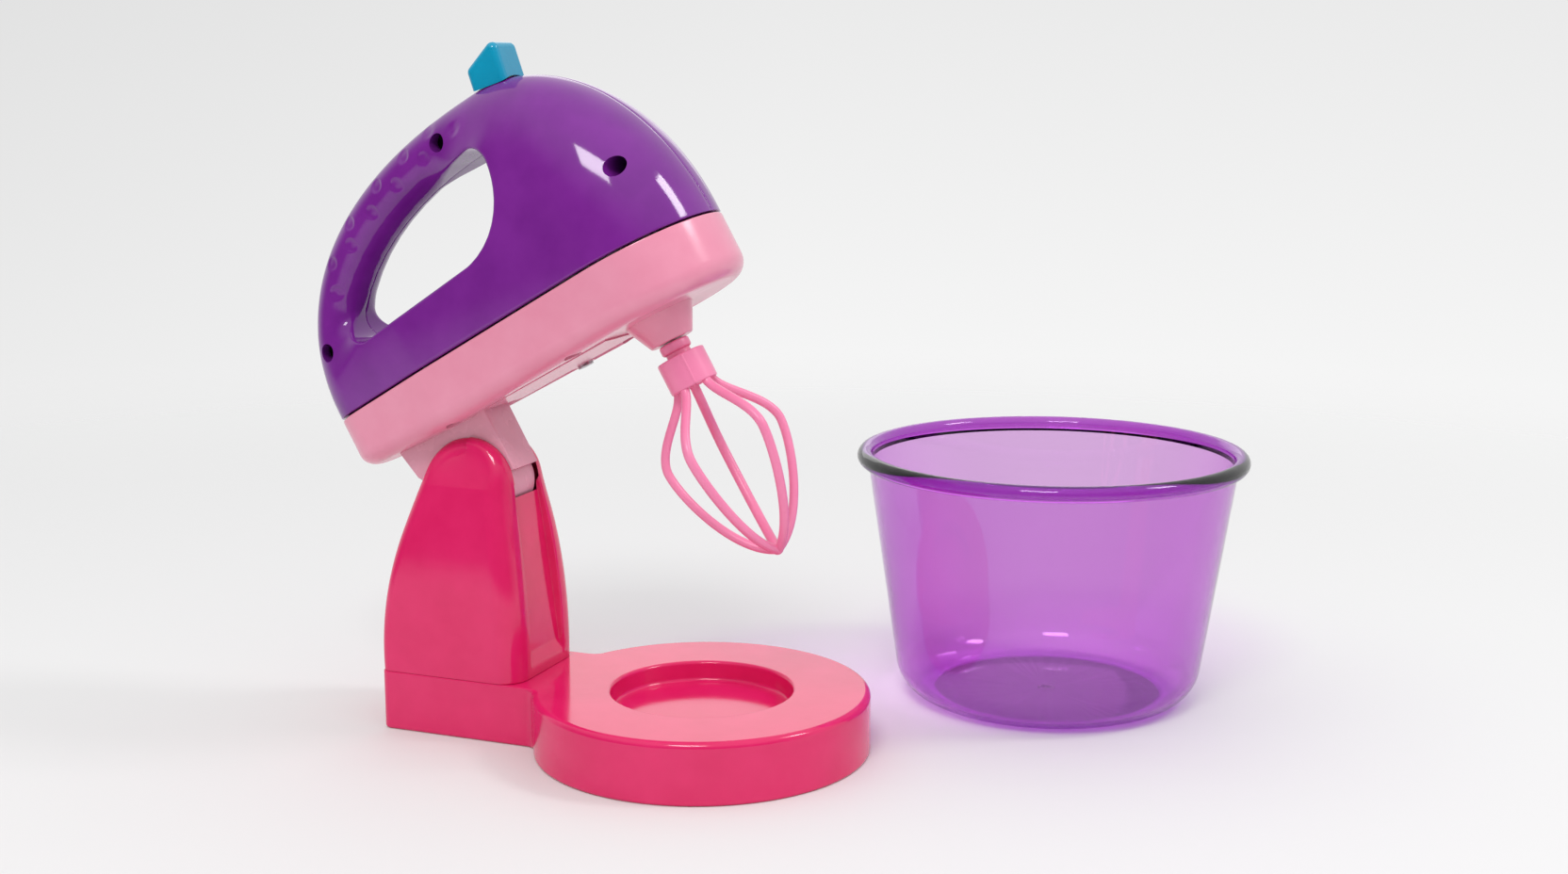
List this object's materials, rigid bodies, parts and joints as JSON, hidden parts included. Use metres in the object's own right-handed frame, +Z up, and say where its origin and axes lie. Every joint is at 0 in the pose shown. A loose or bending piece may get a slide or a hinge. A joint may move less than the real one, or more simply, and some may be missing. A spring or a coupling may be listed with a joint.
{
  "type": "toy stand mixer",
  "caption": "Child's toy stand mixer: a purple handheld head with pink tray tilts on a magenta column and base, drives a pink whisk, and comes with a clear purple bowl.",
  "frame": {"origin": "centre of the base disc, on the floor under the base", "axes": "+X to the mixer's front, from the column to the disc; +Z up; +Y to the mixer's left"},
  "size_m": [0.2813, 0.2102, 0.2147],
  "materials": {
    "magenta_abs": "glossy moulded ABS",
    "pale_pink_abs": "satin moulded ABS",
    "pink_abs": "glossy moulded ABS",
    "purple_abs": "glossy moulded ABS",
    "teal_abs": "glossy moulded ABS",
    "whisk_pink": "satin moulded polypropylene",
    "clear_purple": "clear tinted polystyrene",
    "white_acetal": "moulded acetal",
    "black_plastic": "moulded",
    "cell_jacket": "plain jacket",
    "plated_steel": "zinc plated",
    "blackened_steel": "black oxide",
    "pinion_brass": "turned"
  },
  "bodies": {
    "stand": {"base": "magenta_abs", "base_plate": "magenta_abs", "base_screws": "plated_steel", "column": "magenta_abs", "column_screws": "plated_steel", "hinge_pin": "plated_steel", "hinge_pin_cap": "magenta_abs"},
    "head": {"neck": "pale_pink_abs", "neck_screws": "plated_steel", "lower_tray": "pink_abs", "tray_screws": "plated_steel", "battery_door": "pink_abs", "battery_door_screw": "plated_steel", "batteries": "cell_jacket", "battery_contacts": "plated_steel", "housing_left": "purple_abs", "housing_right": "purple_abs", "housing_screws": "blackened_steel", "slide_switch": "black_plastic", "motor": "plated_steel", "gear_plate": "white_acetal", "gear_plate_screws": "plated_steel", "gear_axle": "plated_steel", "spindle_bush": "white_acetal"},
    "whisk_drive": {"whisk": "whisk_pink", "drive_spindle": "plated_steel", "drive_gear": "white_acetal"},
    "idler": {"compound_gear": "white_acetal"},
    "rotor": {"motor_pinion": "pinion_brass", "motor_shaft": "plated_steel"},
    "switch": {"switch_knob": "teal_abs"},
    "bowl": {"bowl": "clear_purple"}
  },
  "joints": [
    {"name": "head_tilt", "type": "hinge", "parent": "stand", "child": "head", "pos_m": [-0.071, 0, 0.079], "axis": [0, 1, 0], "range_deg": [0, 29]},
    {"name": "whisk_spin", "type": "hinge", "parent": "head", "child": "whisk_drive", "pos_m": [-0.0033, 0, 0.11652], "axis": [-0.4848, 0, 0.8746], "continuous": true},
    {"name": "idler_spin", "type": "hinge", "parent": "head", "child": "idler", "pos_m": [0.00719, 0, 0.12234], "axis": [-0.4848, 0, 0.8746], "continuous": true},
    {"name": "motor_spin", "type": "hinge", "parent": "head", "child": "rotor", "pos_m": [-0.0033, 0, 0.11652], "axis": [-0.4848, 0, 0.8746], "continuous": true},
    {"name": "switch_slide", "type": "slide", "parent": "head", "child": "switch", "axis": [0.9465, 0, 0.3228], "range_m": [0, 0.005]},
    {"name": "bowl_lift", "type": "slide", "parent": "stand", "child": "bowl", "axis": [0, 0, 1], "range_m": [0, 0.12]}
  ],
  "couplings": [
    {"joint": "idler_spin", "follows": "whisk_spin", "ratio": -3},
    {"joint": "motor_spin", "follows": "whisk_spin", "ratio": 9}
  ]
}
